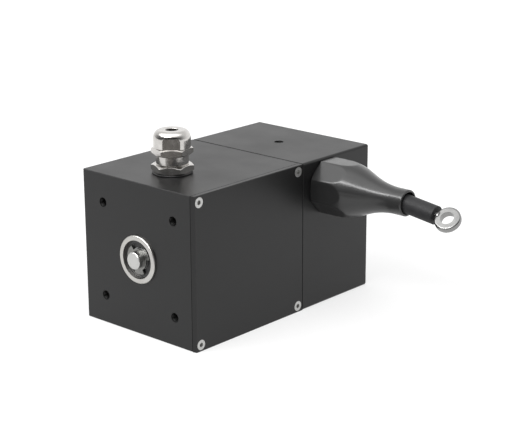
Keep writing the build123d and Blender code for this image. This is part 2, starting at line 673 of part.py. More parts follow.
def make_boot():
    """An octagonal base that runs into a turned, hollow-sided cone and a nozzle."""
    turned_r = BOOT_TURNED_D / 2
    nozzle_r = BOOT_NOZZLE_D / 2
    cone_end = BOOT_LEN - BOOT_NOZZLE_LEN
    shoulder = (BOOT_BASE_LEN, turned_r)
    waist = (cone_end, nozzle_r)
    cone = cone_end - BOOT_BASE_LEN
    leave = (BOOT_BASE_LEN + cone * BOOT_SHOULDER, turned_r)
    arrive = (BOOT_BASE_LEN + cone * BOOT_HOLLOW, nozzle_r * BOOT_HOLLOW_R)
    flank = Bezier(shoulder, leave, arrive, waist)
    outline = [Line((0, 0), (0, turned_r)), Line((0, turned_r), shoulder), flank]
    outline += [Line(waist, (BOOT_LEN, nozzle_r)), Line((BOOT_LEN, nozzle_r), (BOOT_LEN, 0))]
    outline.append(Line((BOOT_LEN, 0), (0, 0)))
    turned = revolve(make_face(outline), axis=Axis.X)
    octagon = RegularPolygon(BOOT_FLATS / 2, 8, major_radius=False)
    prism = Rot(0, 90, 0) * extrude(Rot(0, 0, 180 / 8) * octagon, BOOT_LEN)
    boot = Pos(X_RIGHT, OUTLET_Y, WIRE_Z) * (turned & prism)
    boot -= rod_x(OUTLET_FLANGE_D / 2 + SEAT, 0, X_RIGHT + OUTLET_FLANGE_T + SEAT, OUTLET_Y, WIRE_Z)
    boot -= rod_x(OUTLET_NECK_D / 2 + FIT, 0, X_OUTLET_FACE, OUTLET_Y, WIRE_Z)
    boot_end = X_RIGHT + BOOT_LEN
    boot -= rod_x(BOOT_BORE_D / 2, X_RIGHT, boot_end - BOOT_LIP_LEN, OUTLET_Y, WIRE_Z)
    return boot - rod_x(BOOT_MOUTH_D / 2, X_RIGHT, boot_end + 1, OUTLET_Y, WIRE_Z)


def pull_path(x_start):
    """The middle line of the sleeve: straight out of the boot, then bent down to its end."""
    droop = radians(SLEEVE_DROOP)
    bend_r = SLEEVE_BEND_RUN / sin(droop)
    bend_drop = bend_r * (1 - cos(droop))
    bend_end = (SLEEVE_BEND_X + SLEEVE_BEND_RUN, WIRE_Z - bend_drop)
    half = droop / 2
    bend_mid = (SLEEVE_BEND_X + bend_r * sin(half), WIRE_Z - bend_r * (1 - cos(half)))
    tail = SLEEVE_END_X - bend_end[0]
    end = (SLEEVE_END_X, bend_end[1] - tail * sin(droop) / cos(droop))
    points = [(x_start, WIRE_Z), (SLEEVE_BEND_X, WIRE_Z), bend_mid, bend_end, end]
    return [Vector(x, OUTLET_Y, z) for x, z in points]


def pull_rod(radius, x_start, extra=0.0):
    """A round bar along the sleeve's middle line, longer than the sleeve by extra."""
    start, bend, bend_mid, bend_end, end = pull_path(x_start)
    along = (end - bend_end).normalized()
    last = Line(bend_end, end + along * extra)
    path = Wire([Line(start, bend), ThreePointArc(bend, bend_mid, bend_end), last])
    section = Plane(origin=start, z_dir=(1, 0, 0)) * Circle(radius)
    return sweep(section, path=path)


def make_sleeve():
    return pull_rod(SLEEVE_D / 2, X_SLEEVE) - pull_rod(SLEEVE_BORE_D / 2, X_SLEEVE)


def eye_frame():
    """The plane of the eye: its middle, with x along the sleeve's end and z through the hole."""
    path = pull_path(X_SLEEVE)
    along = (path[4] - path[3]).normalized()
    middle = path[4] + along * (EYE_D / 2 + RUN)
    turn = radians(EYE_TURN)
    lean = Vector(0, -sin(turn), cos(turn))
    normal = (lean - along * lean.dot(along)).normalized()
    return Plane(origin=middle, x_dir=along, z_dir=normal)


def make_eye():
    ring = Cylinder(EYE_D / 2, EYE_T)
    ring = fillet(ring.edges(), EYE_ROUND)
    shank = pull_rod(SLEEVE_BORE_D / 2 - FIT, X_FERRULE_END + SEAT, RUN + EYE_T / 2)
    eye = eye_frame() * ring + shank
    bore = Cylinder(EYE_BORE_D / 2, EYE_T * 2)
    return eye - eye_frame() * bore


def make_ferrule():
    ferrule = rod_x(SLEEVE_BORE_D / 2 - FIT, X_SLEEVE, X_FERRULE_END, OUTLET_Y, WIRE_Z)
    grip = rod_x(WIRE_D / 2 + FIT, X_SLEEVE - 1, X_SLEEVE + FERRULE_GRIP + SEAT, OUTLET_Y, WIRE_Z)
    return ferrule - grip


def make_measuring_wire():
    """The wire from where it leaves the drum to its swaged end."""
    return rod_x(WIRE_D / 2, 0, X_SLEEVE + FERRULE_GRIP, OUTLET_Y, WIRE_Z)


def gland_ring():
    ring = rod_z(GLAND_RING_D / 2, Z_TOP, Z_BODY_HEX, y=GLAND_Y)
    return ring - rod_z(GLAND_THREAD_D / 2 + FIT, Z_TOP - 1, Z_NECK, y=GLAND_Y)


def chamfered_hex(flats, turn, z0, z1):
    """A turned hexagon: its corners are cut off by a cone at both ends."""
    corner = flats / sqrt(3)
    drop = (corner - flats / 2) * HEX_CHAMFER
    rim = flats / 2 - EDGE_BREAK
    points = [(0, z0), (rim, z0), (corner, z0 + drop), (corner, z1 - drop), (rim, z1), (0, z1)]
    cone = revolve(make_face(Plane.XZ * Polyline(*points, close=True)), axis=Axis.Z)
    return cone & (Pos(0, 0, z0) * extrude(hexagon(flats, turn), z1 - z0))


def make_gland_body():
    body = chamfered_hex(GLAND_BODY_FLATS, GLAND_BODY_TURN, Z_BODY_HEX, Z_NECK)
    thread_end = Z_TOP - TOP_WALL + SEAT
    body += rod_z(GLAND_THREAD_D / 2, thread_end, Z_NECK)
    body += rod_z(GLAND_NECK_D / 2, Z_NECK - 1, Z_NUT - SEAT)
    body += rod_z(GLAND_TOP_THREAD_D / 2, Z_NECK, Z_CAP)
    body -= rod_z(GLAND_PASSAGE_D / 2, thread_end - 1, Z_GLAND_TOP)
    body -= rod_z(GLAND_INSERT_D / 2 + FIT, Z_NECK, Z_GLAND_TOP)
    return Pos(0, GLAND_Y, 0) * body


def make_gland_nut():
    """A cap nut: a hexagon, a cap with two flats, and a rounded top with the cable's hole."""
    cap_r = GLAND_CAP_D / 2
    round_r = GLAND_CAP_ROUND
    top = Z_GLAND_TOP
    cap = Pos(0, 0, Z_NUT) * extrude(Circle(cap_r), top - Z_NUT)
    cap = fillet(cap.edges().sort_by(Axis.Z)[-1], round_r)
    kept = Rot(0, 0, GLAND_NUT_TURN - 90) * Rectangle(GLAND_CAP_FLATS, 2 * GLAND_CAP_D)
    cut = extrude(Circle(cap_r + 1) - kept, GLAND_CAP_FLAT_H)
    cap -= Pos(0, 0, Z_CAP) * cut
    nut = cap + chamfered_hex(GLAND_NUT_FLATS, GLAND_NUT_TURN, Z_NUT, Z_CAP + FIT)
    nut -= rod_z(GLAND_TOP_THREAD_D / 2 + FIT, Z_NUT - 1, Z_CAP + SEAT)
    nut -= rod_z(GLAND_INSERT_HEAD_D / 2 + FIT, Z_NUT, insert_top() + SEAT)
    nut -= rod_z(GLAND_MOUTH_D / 2, Z_NUT, top + 1)
    return Pos(0, GLAND_Y, 0) * nut


def insert_top():
    return Z_GLAND_TOP - GLAND_CAP_ROUND / 2


def make_gland_insert():
    """The rubber insert that closes on the cable."""
    insert = rod_z(GLAND_INSERT_D / 2, Z_NECK + SEAT, insert_top())
    insert += rod_z(GLAND_INSERT_HEAD_D / 2, Z_CAP + SEAT, insert_top())
    insert -= rod_z(GLAND_CABLE_D / 2, Z_NECK - 1, Z_GLAND_TOP)
    return Pos(0, GLAND_Y, 0) * insert


def make_top_plug():
    top = Z_REAR_TOP - PLUG_RECESS
    plug = rod_z(PLUG_D / 2, top - PLUG_LEN, top, y=PLUG_Y)
    return plug - Pos(0, PLUG_Y, top) * hex_socket(PLUG_SOCKET, PLUG_D * SOCKET_SHARE)


def standoff_places():
    """(x, z) of the three stand-offs of the encoder board."""
    turns = [radians(90 + 120 * i) for i in range(3)]
    return [(STANDOFF_RING_D / 2 * cos(t), STANDOFF_RING_D / 2 * sin(t)) for t in turns]


def make_board_standoffs():
    posts = [rod_y(STANDOFF_D / 2, FRONT_WALL, Y_BOARD, x, z) for x, z in standoff_places()]
    return Compound(children=posts)


def make_encoder_board():
    board = tube_y(ENCODER_BOARD_D / 2, ENCODER_BOARD_BORE / 2, Y_BOARD, Y_BOARD + BOARD_T)
    for x, z in standoff_places():
        board -= rod_y(BOARD_HOLE_R, Y_BOARD - 1, Y_BOARD + BOARD_T + 1, x, z)
    return board


def make_code_disc():
    disc = Circle(DISC_D / 2) - Circle(HUB_BOSS_D / 2 + FIT)
    slot_len = DISC_SLOT_OUT - DISC_SLOT_IN
    slot = Pos((DISC_SLOT_IN + DISC_SLOT_OUT) / 2, 0) * Rectangle(slot_len, DISC_SLOT_W)
    for i in range(DISC_SLOTS):
        disc -= Rot(0, 0, 360 * i / DISC_SLOTS) * slot
    return Pos(0, Y_DISC + DISC_T, 0) * Rot(90, 0, 0) * extrude(disc, DISC_T)


def make_disc_hub():
    hub = rod_y(HUB_BOSS_D / 2, Y_DISC, Y_DISC + DISC_T + 1)
    hub += rod_y(HUB_D / 2, Y_DISC + DISC_T, Y_DISC + DISC_T + HUB_LEN)
    hub -= rod_y(RACE_BORE_R, Y_DISC - 1, Y_DISC + DISC_T + HUB_LEN + 1)
    return hub - rod_z(HUB_SCREW_D / 2 + FIT, 0, HUB_D, y=hub_screw_y())


def hub_screw_y():
    return Y_DISC + DISC_T + HUB_LEN / 2


def make_hub_screw():
    top = HUB_D / 2 - RUN
    screw = rod_z(HUB_SCREW_D / 2, SHAFT_R + SEAT, top, y=hub_screw_y())
    return screw - Pos(0, hub_screw_y(), top) * hex_socket(HUB_SCREW_D / 2, HUB_SCREW_D / 2)


def make_optical_reader():
    y = Y_BOARD + BOARD_T
    reader = box(READER_IN, READER_OUT, y, y + READER_DEPTH, -READER_W / 2, READER_W / 2)
    slot0 = Y_DISC - READER_SLOT_GAP
    slot1 = Y_DISC + DISC_T + READER_SLOT_GAP
    slot_end = DISC_D / 2 + READER_SLOT_GAP
    return reader - box(READER_IN - 1, slot_end, slot0, slot1, -READER_W, READER_W)


def board_hole_places():
    """(y, z) of the main board's four screws."""
    reach_y = MAIN_BOARD_Y / 2 - MAIN_BOARD_HOLE_INSET
    reach_z = MAIN_BOARD_Z / 2 - MAIN_BOARD_HOLE_INSET
    return [(Y_BOARD_MID + i * reach_y, j * reach_z) for i in (-1, 1) for j in (-1, 1)]


def make_main_board():
    y0 = Y_BOARD_MID - MAIN_BOARD_Y / 2
    board = box(X_BOARD, X_BOARD + BOARD_T, y0, y0 + MAIN_BOARD_Y, -MAIN_BOARD_Z / 2, MAIN_BOARD_Z / 2)
    for y, z in board_hole_places():
        board -= rod_x(BOARD_HOLE_R, X_BOARD - 1, X_BOARD + BOARD_T + 1, y, z)
    return board


def make_board_spacers():
    wall = FAR_WALL - X_RIGHT
    return Compound(children=[rod_x(STANDOFF_D / 2, wall, X_BOARD, y, z) for y, z in board_hole_places()])


def terminal_box():
    """x0, x1, y0, y1 and half the length of the terminal block."""
    x0 = X_BOARD + BOARD_T
    y1 = Y_BOARD_MID + MAIN_BOARD_Y / 2 - MAIN_BOARD_HOLE_INSET - STANDOFF_D / 2
    return x0, x0 + TERMINAL_H, y1 - TERMINAL_DEPTH, y1, TERMINALS * TERMINAL_PITCH / 2


def make_terminal_block():
    x0, x1, y0, y1, reach = terminal_box()
    blk = box(x0, x1, y0, y1, -reach, reach)
    low = x0 + TERMINAL_ENTRY_LIFT
    half = TERMINAL_ENTRY / 2
    for i in range(TERMINALS):
        z = -reach + TERMINAL_PITCH * (i + 0.5)
        blk -= rod_x(TERMINAL_SCREW_D / 2, x1 - TERMINAL_H / 3, x1 + 1, (y0 + y1) / 2, z)
        blk -= box(low, low + TERMINAL_ENTRY, y0 - 1, y0 + TERMINAL_DEPTH / 3, z - half, z + half)
    return blk


def make_board_chips():
    """Two chips on the main board, between the encoder board and the terminal block."""
    x0, _, terminal_y, _, _ = terminal_box()
    y0 = Y_BOARD + BOARD_T + CHIP_GAP
    y1 = terminal_y - CHIP_GAP
    starts = (-CHIP_W - CHIP_GAP, CHIP_GAP)
    return Compound(children=[box(x0, x0 + CHIP_H, y0, y1, z, z + CHIP_W) for z in starts])


FRONT_SEAL_Y = Y_FRONT_BEARING + SEAL_RECESS
REAR_SEAL_Y = Y_REAR_BEARING + SEAL_RECESS

NODES = {
    "front_block": make_front_block(),
    "rear_block": make_rear_block(),
    "block_gasket": make_block_gasket(),
    "side_cover": make_side_cover(),
    "cover_gasket": make_cover_gasket(),
    "cover_screws": make_cover_screws(),
    "block_bolts": make_block_bolts(),
    "bearing_collar": make_bearing_collar(),
    "front_bearing_outer_race": make_outer_race(Y_FRONT_BEARING),
    "front_bearing_inner_race": make_inner_race(Y_FRONT_BEARING),
    "front_bearing_balls": make_balls(Y_FRONT_BEARING),
    "front_bearing_seal": make_bearing_seal(FRONT_SEAL_Y),
    "rear_bearing_outer_race": make_outer_race(Y_REAR_BEARING),
    "rear_bearing_inner_race": make_inner_race(Y_REAR_BEARING),
    "rear_bearing_balls": make_balls(Y_REAR_BEARING),
    "rear_bearing_seal": make_bearing_seal(REAR_SEAL_Y),
    "main_shaft": make_main_shaft(),
    "retaining_clip": make_retaining_clip(),
    "shaft_seal": make_shaft_seal(),
    "spring_cassette": make_spring_cassette(),
    "cassette_lid": make_cassette_lid(),
    "cassette_dowel": make_cassette_dowel(),
    "spiral_spring": make_spiral_spring(),
    "spring_arbor": make_spring_arbor(),
    "arbor_pin": make_arbor_pin(),
    "wire_drum": make_wire_drum(),
    "drum_pin": make_drum_pin(),
    "wound_wire": make_wound_wire(),
    "wire_outlet": make_wire_outlet(),
    "guide_bush": make_guide_bush(),
    "wiper_ring": make_wiper_ring(),
    "boot": make_boot(),
    "measuring_wire": make_measuring_wire(),
    "ferrule": make_ferrule(),
    "sleeve": make_sleeve(),
    "eye": make_eye(),
    "gland_ring": gland_ring(),
    "gland_body": make_gland_body(),
    "gland_nut": make_gland_nut(),
    "gland_insert": make_gland_insert(),
    "top_plug": make_top_plug(),
    "board_standoffs": make_board_standoffs(),
    "encoder_board": make_encoder_board(),
    "optical_reader": make_optical_reader(),
    "code_disc": make_code_disc(),
    "disc_hub": make_disc_hub(),
    "hub_screw": make_hub_screw(),
    "main_board": make_main_board(),
    "board_spacers": make_board_spacers(),
    "terminal_block": make_terminal_block(),
    "board_chips": make_board_chips(),
}

for name, shape in NODES.items():
    export_step(shape, "parts/" + name + ".step")

print("wire drum turns by", round(2000 / WIRE_RADIUS, 3), "radians for 2 m of wire")
print("eye middle", eye_frame().origin, "eye normal", eye_frame().z_dir)
print("one turn of wire", round(2 * pi * WIRE_RADIUS, 2))
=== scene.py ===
import bpy
import bmesh
import json
import math
from mathutils import Matrix, Vector


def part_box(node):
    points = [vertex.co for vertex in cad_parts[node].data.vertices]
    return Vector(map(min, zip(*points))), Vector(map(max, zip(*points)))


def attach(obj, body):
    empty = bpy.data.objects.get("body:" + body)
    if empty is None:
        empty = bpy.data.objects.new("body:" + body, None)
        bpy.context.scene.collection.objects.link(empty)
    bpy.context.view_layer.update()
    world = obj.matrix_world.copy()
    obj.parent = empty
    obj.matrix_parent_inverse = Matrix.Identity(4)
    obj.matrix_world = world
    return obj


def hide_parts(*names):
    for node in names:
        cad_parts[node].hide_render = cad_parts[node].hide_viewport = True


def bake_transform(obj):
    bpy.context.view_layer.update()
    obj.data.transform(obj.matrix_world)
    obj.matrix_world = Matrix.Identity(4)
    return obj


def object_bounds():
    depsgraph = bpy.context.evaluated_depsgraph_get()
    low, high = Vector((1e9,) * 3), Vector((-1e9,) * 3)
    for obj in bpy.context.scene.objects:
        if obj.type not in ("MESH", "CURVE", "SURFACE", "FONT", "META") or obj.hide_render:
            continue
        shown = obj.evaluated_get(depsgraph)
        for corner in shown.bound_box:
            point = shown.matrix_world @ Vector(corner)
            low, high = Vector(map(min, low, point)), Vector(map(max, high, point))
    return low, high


# Draw-wire linear encoder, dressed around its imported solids.
# X is the way the wire is pulled, Y runs from the front face to the back, Z is up.
# The object's sizes are in millimetres. The materials, floor, light and camera are in metres.

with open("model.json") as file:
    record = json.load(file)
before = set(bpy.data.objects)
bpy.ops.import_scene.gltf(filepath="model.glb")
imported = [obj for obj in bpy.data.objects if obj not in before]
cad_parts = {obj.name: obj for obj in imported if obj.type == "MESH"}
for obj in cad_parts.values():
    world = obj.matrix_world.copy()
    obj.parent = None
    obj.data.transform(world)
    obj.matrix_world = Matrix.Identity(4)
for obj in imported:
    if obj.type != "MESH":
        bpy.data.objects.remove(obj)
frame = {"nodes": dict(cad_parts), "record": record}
cad_low, cad_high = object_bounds()
nodes = frame["nodes"]
MM = 0.001


def corners(node):
    """A node's lowest and highest corner in millimetres."""
    return [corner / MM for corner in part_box(node)]


def middle(node):
    """The middle of a node in metres."""
    low_corner, high_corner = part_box(node)
    return tuple((low_corner + high_corner) / 2)


# Material nodes

NOISE_LOW = 0.3         # most of a noise's values lie between these two
NOISE_HIGH = 0.7
NOISE_ROUGHNESS = 0.55
RELIEF_DETAIL = 2.0
FINE_RELIEF = 0.00001
RING_STRENGTH = 0.35
STROKE_STRENGTH = 0.3
DARK_RIM = 0.0001       # width of the rim of a painted shade near a turning axis


def new_node(tree, kind, inputs=None, **settings):
    """A shader node. An input that is given a socket is linked to it, and any other is set."""
    made = tree.nodes.new(kind)
    for key, value in settings.items():
        setattr(made, key, value)
    for key, value in (inputs or {}).items():
        if isinstance(value, bpy.types.NodeSocket):
            tree.links.new(value, made.inputs[key])
        else:
            made.inputs[key].default_value = value
    return made


def noise(tree, vector, scale, detail=3.0):
    """A number from 0 to 1 that changes smoothly with the place."""
    inputs = {"Vector": vector, "Scale": scale, "Detail": detail, "Roughness": NOISE_ROUGHNESS}
    return new_node(tree, "ShaderNodeTexNoise", inputs).outputs["Fac"]


def mapped(tree, value, start, end, low, high, **settings):
    """A number that goes from low to high while another one goes from start to end."""
    inputs = {"Value": value, "From Min": start, "From Max": end, "To Min": low, "To Max": high}
    return new_node(tree, "ShaderNodeMapRange", inputs, **settings).outputs["Result"]


def ramp(tree, value, low, high):
    """A colour that goes from low to high with a noise."""
    made = new_node(tree, "ShaderNodeValToRGB", {"Fac": value})
    for stop, place, colour in zip(made.color_ramp.elements, (NOISE_LOW, NOISE_HIGH), (low, high)):
        stop.position = place
        stop.color = (*colour, 1)
    return made.outputs["Color"]


def vector_math(tree, operation, *inputs):
    """A vector node with its first inputs, in order."""
    return new_node(tree, "ShaderNodeVectorMath", dict(enumerate(inputs)), operation=operation)


def scaled(tree, vector, factors):
    """A vector multiplied along each axis."""
    return vector_math(tree, "MULTIPLY", vector, factors).outputs["Vector"]


def around_axis(tree, place, axis, centre):
    """The distance from a turning axis, and the place along it."""
    moved = vector_math(tree, "SUBTRACT", place, centre).outputs["Vector"]
    flat = scaled(tree, moved, tuple(0.0 if letter == axis else 1.0 for letter in "XYZ"))
    distance = vector_math(tree, "LENGTH", flat).outputs["Value"]
    return distance, new_node(tree, "ShaderNodeSeparateXYZ", {0: moved}).outputs[axis]


def painted_shade_within(tree, colour, place, axis, centre, radius, share):
    """The colour, cut to a share of itself nearer than a radius to a turning axis: a painted shade in a
    bore.
    """
    distance, _ = around_axis(tree, place, axis, centre)
    made = vector_math(tree, "SCALE", colour)
    kept = mapped(tree, distance, radius - DARK_RIM, radius, share, 1.0)
    tree.links.new(kept, made.inputs["Scale"])
    return made.outputs["Vector"]


def bumped(tree, shader, height, strength, distance):
    """Adds a relief on top of those that the shader has."""
    inputs = {"Strength": strength, "Distance": distance, "Height": height}
    before = shader.inputs["Normal"].links
    if before:
        inputs["Normal"] = before[0].from_socket
    bump = new_node(tree, "ShaderNodeBump", inputs)
    tree.links.new(bump.outputs["Normal"], shader.inputs["Normal"])


def finish_of(
    name, low, high, rough, metal=0.0, ior=1.5, coat=0.0, coat_rough=0.1,
    broad=90.0, grain=6000.0, grain_depth=FINE_RELIEF, grain_strength=0.3,
    turned=None, turned_depth=FINE_RELIEF, brushed=None, dark_within=None,
):
    """A finish: colour and gloss vary over the surface, and a fine grain stands on it.

    The colour goes from low to high and the roughness over the two of rough, in patches of the
    scale broad. turned is (axis, centre, lines), brushed is the strokes' scale along each axis,
    and dark_within is (axis, centre, radius, share) of a painted shade near a turning axis.
    """
    made = bpy.data.materials.new(name)
    made.use_nodes = True
    tree = made.node_tree
    shader = tree.nodes["Principled BSDF"]
    shader.inputs["Metallic"].default_value = metal
    shader.inputs["IOR"].default_value = ior
    shader.inputs["Coat Weight"].default_value = coat
    shader.inputs["Coat Roughness"].default_value = coat_rough
    place = new_node(tree, "ShaderNodeTexCoord").outputs["Object"]
    patches = noise(tree, place, broad)
    colour = ramp(tree, patches, low, high)
    # Painted shade: the colour is cut down near a turning axis.
    if dark_within:
        colour = painted_shade_within(tree, colour, place, *dark_within)
    tree.links.new(colour, shader.inputs["Base Color"])
    gloss = mapped(tree, patches, NOISE_LOW, NOISE_HIGH, *rough)
    tree.links.new(gloss, shader.inputs["Roughness"])
    bumped(tree, shader, noise(tree, place, grain, RELIEF_DETAIL), grain_strength, grain_depth)
    if turned:
        axis, centre, lines = turned
        distance, along = around_axis(tree, place, axis, centre)
        joined = new_node(tree, "ShaderNodeCombineXYZ", {"X": distance, "Y": along}).outputs["Vector"]
        rings = noise(tree, scaled(tree, joined, (lines, lines, 1.0)), 1.0, RELIEF_DETAIL)
        bumped(tree, shader, rings, RING_STRENGTH, turned_depth)
    if brushed:
        strokes = noise(tree, scaled(tree, place, brushed), 1.0, RELIEF_DETAIL)
        bumped(tree, shader, strokes, STROKE_STRENGTH, FINE_RELIEF)
    return made


# Finishes

SHAFT_AXIS = (0.0, 0.0, 0.0)
GLAND_MIDDLE = middle("gland_ring")
OUTLET_MIDDLE = middle("wire_outlet")
# Within this radius the collar's colour is cut to a small share of itself: a painted shade in its bore.
COLLAR_BRIGHT_R = 9.9 * MM
COLLAR_SHADE_SHARE = 0.06

ANODISED = finish_of(
    "black_anodised", (0.0040, 0.0040, 0.0042), (0.0060, 0.0060, 0.0062), (0.36, 0.43),
    ior=1.415, broad=35, grain=5200, grain_strength=0.22,
)
ALUMINIUM = finish_of(
    "bare_aluminium", (0.44, 0.435, 0.42), (0.52, 0.515, 0.50), (0.30, 0.40),
    metal=1.0, turned=("Y", SHAFT_AXIS, 9000.0),
)
# Bare collar, with a painted shade in its bore.
COLLAR = finish_of(
    "collar_aluminium", (0.46, 0.45, 0.43), (0.54, 0.53, 0.51), (0.30, 0.40),
    metal=1.0, turned=("Y", SHAFT_AXIS, 9000.0),
    dark_within=("Y", SHAFT_AXIS, COLLAR_BRIGHT_R, COLLAR_SHADE_SHARE),
)
OUTLET = finish_of(
    "turned_aluminium", (0.70, 0.70, 0.69), (0.80, 0.80, 0.79), (0.26, 0.36),
    metal=1.0, turned=("X", OUTLET_MIDDLE, 9000.0),
)
STEEL = finish_of(
    "bright_steel", (0.46, 0.46, 0.45), (0.54, 0.54, 0.53), (0.28, 0.36),
    metal=1.0, turned=("Y", SHAFT_AXIS, 8000.0),
)
BEARING = finish_of(
    "bearing_steel", (0.50, 0.50, 0.51), (0.60, 0.60, 0.61), (0.12, 0.20),
    metal=1.0, turned=("Y", SHAFT_AXIS, 12000.0),
)
ZINC = finish_of(
    "zinc_plate", (0.46, 0.46, 0.45), (0.58, 0.58, 0.57), (0.38, 0.48),
    metal=1.0, broad=700, grain=4000,
)
BLACK_OXIDE = finish_of(
    "black_oxide", (0.020, 0.020, 0.021), (0.035, 0.035, 0.036), (0.30, 0.42),
    broad=400, grain=4000,
)
SPRING = finish_of(
    "blued_spring_steel", (0.16, 0.18, 0.22), (0.26, 0.28, 0.33), (0.20, 0.32),
    metal=1.0, brushed=(60.0, 9000.0, 60.0),
)
NICKEL = finish_of(
    "nickel_plate", (0.50, 0.485, 0.465), (0.60, 0.585, 0.565), (0.14, 0.21),
    metal=1.0, broad=260, grain=2500, grain_strength=0.12,
    turned=("Z", GLAND_MIDDLE, 1300.0), turned_depth=0.00004,
)
# Painted shade: a darker, rougher nickel for the cutter's round corner above each flat of the gland's
# cap.
NICKEL_PAINTED_SHADE = finish_of(
    "nickel_painted_shade", (0.07, 0.068, 0.064), (0.10, 0.097, 0.092), (0.45, 0.55),
    metal=1.0, broad=600,
)
RUBBER = finish_of(
    "black_rubber", (0.012, 0.012, 0.012), (0.020, 0.020, 0.020), (0.50, 0.62),
    broad=300, grain=3500, grain_strength=0.35,
)
SEAL = finish_of(
    "bearing_seal", (0.012, 0.012, 0.012), (0.020, 0.020, 0.020), (0.42, 0.52),
    broad=300, grain=3500, grain_strength=0.2, turned=("Y", SHAFT_AXIS, 2600.0),
)
BOOT = finish_of(
    "moulded_rubber", (0.009, 0.009, 0.0092), (0.014, 0.014, 0.014), (0.46, 0.56),
    ior=1.38, coat=0.75, coat_rough=0.20, broad=120, grain=2600, grain_strength=0.04,
)
SLEEVE = finish_of(
    "sleeve_rubber", (0.010, 0.010, 0.011), (0.016, 0.016, 0.017), (0.52, 0.62),
    ior=1.42, broad=260, grain=3000, grain_strength=0.06,
)
TAPPED = finish_of(
    "tapped_hole", (0.005, 0.005, 0.005), (0.010, 0.010, 0.010), (0.25, 0.35),
    ior=1.35, broad=900, grain=4000,
)
GASKET = finish_of(
    "gasket_rubber", (0.004, 0.004, 0.004), (0.007, 0.007, 0.007), (0.75, 0.85),
    ior=1.12, broad=300, grain=3500,
)
PHOSPHATED = finish_of(
    "phosphated_steel", (0.17, 0.17, 0.165), (0.26, 0.26, 0.25), (0.30, 0.40),
    metal=1.0, broad=500, grain=4000,
)
FELT = finish_of(
    "felt", (0.40, 0.38, 0.33), (0.56, 0.54, 0.49), (0.90, 1.0),
    broad=1500, grain=9000, grain_depth=0.0001, grain_strength=0.8,
)
SLIDE = finish_of(
    "slide_plastic", (0.66, 0.65, 0.60), (0.76, 0.75, 0.71), (0.35, 0.45), broad=200,
)
PLASTIC = finish_of(
    "black_plastic", (0.016, 0.016, 0.016), (0.024, 0.024, 0.024), (0.40, 0.5), broad=300,
)
BOARD = finish_of(
    "coated_board", (0.010, 0.085, 0.030), (0.018, 0.13, 0.05), (0.25, 0.35),
    coat=0.3, broad=420,
)
TERMINAL = finish_of(
    "green_plastic", (0.03, 0.24, 0.08), (0.04, 0.30, 0.10), (0.40, 0.5), broad=300,
)
BRASS = finish_of(
    "turned_brass", (0.62, 0.43, 0.18), (0.74, 0.54, 0.25), (0.22, 0.32),
    metal=1.0, broad=500, grain=3000,
)
EYE_STEEL = finish_of(
    "polished_steel", (0.22, 0.22, 0.218), (0.30, 0.30, 0.295), (0.24, 0.32),
    metal=1.0, broad=160, grain=1500, grain_strength=0.02,
)
WIRE_STEEL = finish_of(
    "wire_steel", (0.45, 0.45, 0.45), (0.60, 0.60, 0.59), (0.22, 0.34),
    metal=1.0, broad=900, grain=5000,
)

SLOT_FINISH = {
    "anodised_black": ANODISED, "bare_aluminium": ALUMINIUM, "steel": STEEL, "bearing_steel": BEARING,
    "zinc_screws": ZINC, "black_screws": BLACK_OXIDE, "spring_steel": SPRING, "nickel_brass": NICKEL,
    "black_rubber": RUBBER, "boot_rubber": BOOT, "sleeve_rubber": SLEEVE, "felt": FELT,
    "slide_plastic": SLIDE, "black_plastic": PLASTIC, "board_green": BOARD, "terminal_green": TERMINAL,
    "brass": BRASS,
}
NODE_FINISH = {
    "bearing_collar": COLLAR, "front_bearing_outer_race": BLACK_OXIDE, "front_bearing_seal": SEAL,
    "rear_bearing_seal": SEAL, "retaining_clip": PHOSPHATED, "wire_outlet": OUTLET,
    "measuring_wire": WIRE_STEEL, "wound_wire": WIRE_STEEL, "ferrule": PHOSPHATED, "eye": EYE_STEEL,
    "block_gasket": GASKET, "cover_gasket": GASKET,
}

for part in frame["record"]["subparts"]:
    node = part["node"]
    finish = NODE_FINISH.get(node, SLOT_FINISH[part["material_slot"]])
    nodes[node].data.materials.clear()
    nodes[node].data.materials.append(finish)


# Edges of the solids

BROKEN_EDGES = {
    "front_block": 0.18, "rear_block": 0.36, "side_cover": 0.18, "bearing_collar": 0.2,
    "main_shaft": 0.15, "retaining_clip": 0.12, "eye": 0.3, "cover_screws": 0.12,
    "block_bolts": 0.2, "top_plug": 0.12, "sleeve": 0.35, "wire_outlet": 0.2,
}
EDGE_SEGMENTS = 3
EDGE_ANGLE = 40.0


def break_edges(node, width):
    """Rounds a solid's sharp edges a little, so that they catch light."""
    bevel = nodes[node].modifiers.new("broken_edges", "BEVEL")
    bevel.width = width * MM
    bevel.segments = EDGE_SEGMENTS
    bevel.limit_method = "ANGLE"
    bevel.angle_limit = math.radians(EDGE_ANGLE)
    bevel.use_clamp_overlap = True
    bevel.harden_normals = False


for node, width in BROKEN_EDGES.items():
    break_edges(node, width)


# Outlines of turned pieces

CREST = (0.45, 0.55)    # where a thread's crest starts and ends, as shares of the pitch


def arc(cx, cy, radius, start, end, steps):
    """Points on an arc, with its angles in degrees."""
    made = []
    for i in range(steps + 1):
        t = math.radians(start + (end - start) * i / steps)
        made.append((cx + radius * math.cos(t), cy + radius * math.sin(t)))
    return made


def bezier(p0, p1, p2, p3, steps):
    """Points on the curve of four control points."""
    made = []
    for i in range(steps + 1):
        t = i / steps
        s = 1 - t
        weights = (s ** 3, 3 * s * s * t, 3 * s * t * t, t ** 3)
        made.append(tuple(sum(w * p for w, p in zip(weights, ps)) for ps in zip(p0, p1, p2, p3)))
    return made


def dense(points, step):
    """The same line with points at most a step apart."""
    made = [points[0]]
    for first, last in zip(points, points[1:]):
        count = max(1, math.ceil(math.dist(first, last) / step))
        for i in range(1, count + 1):
            made.append(tuple(f + (l - f) * (i / count) for f, l in zip(first, last)))
    return made


